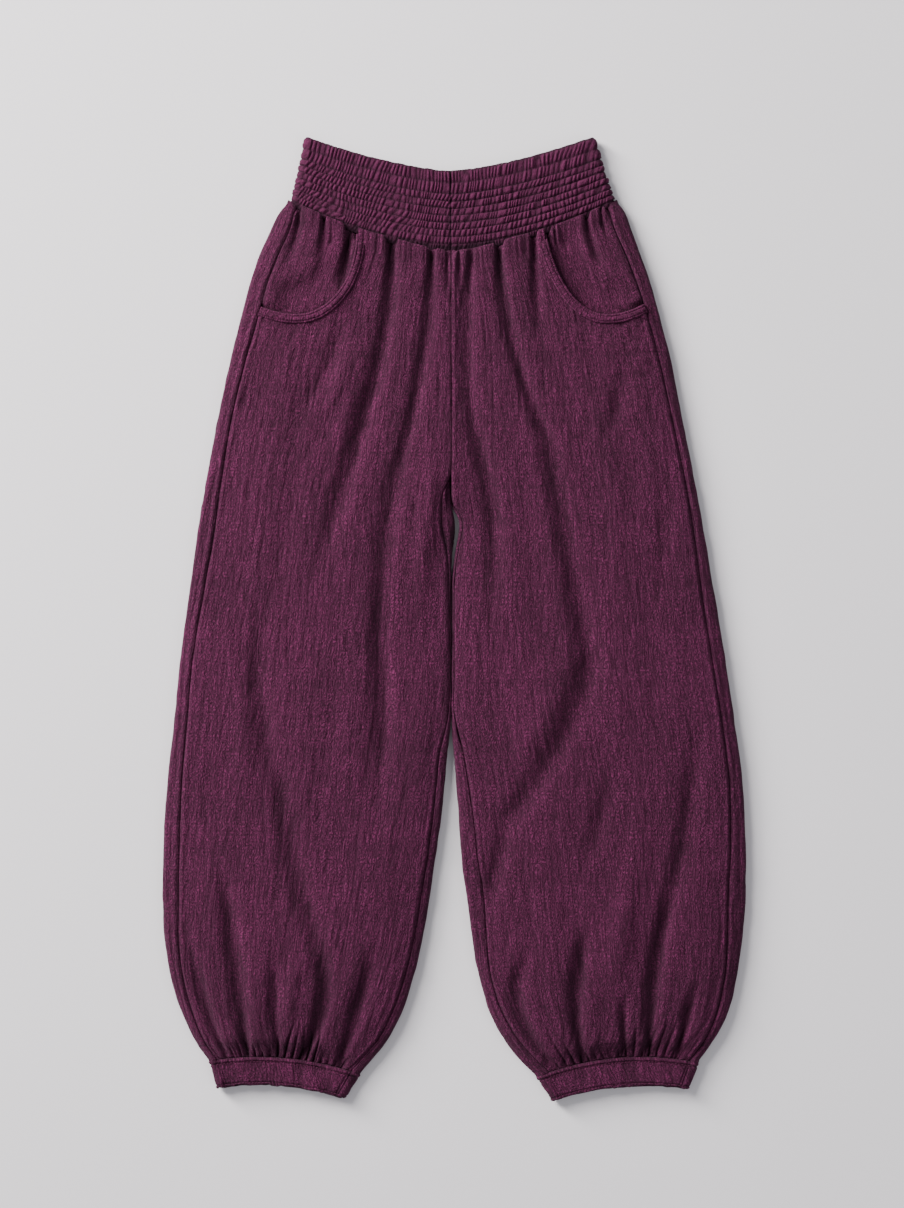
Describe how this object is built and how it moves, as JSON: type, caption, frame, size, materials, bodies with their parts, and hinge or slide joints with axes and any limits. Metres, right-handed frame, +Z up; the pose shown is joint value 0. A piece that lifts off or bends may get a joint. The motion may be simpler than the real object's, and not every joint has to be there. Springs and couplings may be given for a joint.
{
  "type": "harem trousers",
  "caption": "Loose harem trousers laid flat: smocked elastic waistband, scooped front pockets, full legs gathered into narrow cuffs.",
  "frame": {"origin": "centre of the bounding box of the trousers on the surface that they lie on", "axes": "+Y towards the waist, +X to the right as seen from above, +Z up from the surface, front of the trousers upwards"},
  "size_m": [0.5938, 0.9816, 0.0221],
  "materials": {
    "crinkled_cloth": "matt crinkled cotton double gauze, plum purple",
    "smocked_band": "the same cotton drawn up into rows of small puffs by elastic thread",
    "binding": "the same cotton in a narrow flat strip, stitched along both edges",
    "cuff_cloth": "the same cotton in a plain folded cuff with a double line of stitching"
  },
  "bodies": {
    "root": {"waistband": "smocked_band", "front_leg_left": "crinkled_cloth", "front_leg_right": "crinkled_cloth", "back_leg_left": "crinkled_cloth", "back_leg_right": "crinkled_cloth", "pocket_backing_left": "crinkled_cloth", "pocket_backing_right": "crinkled_cloth", "pocket_band_left": "binding", "pocket_band_right": "binding", "cuff_left": "cuff_cloth", "cuff_right": "cuff_cloth"}
  },
  "joints": []
}
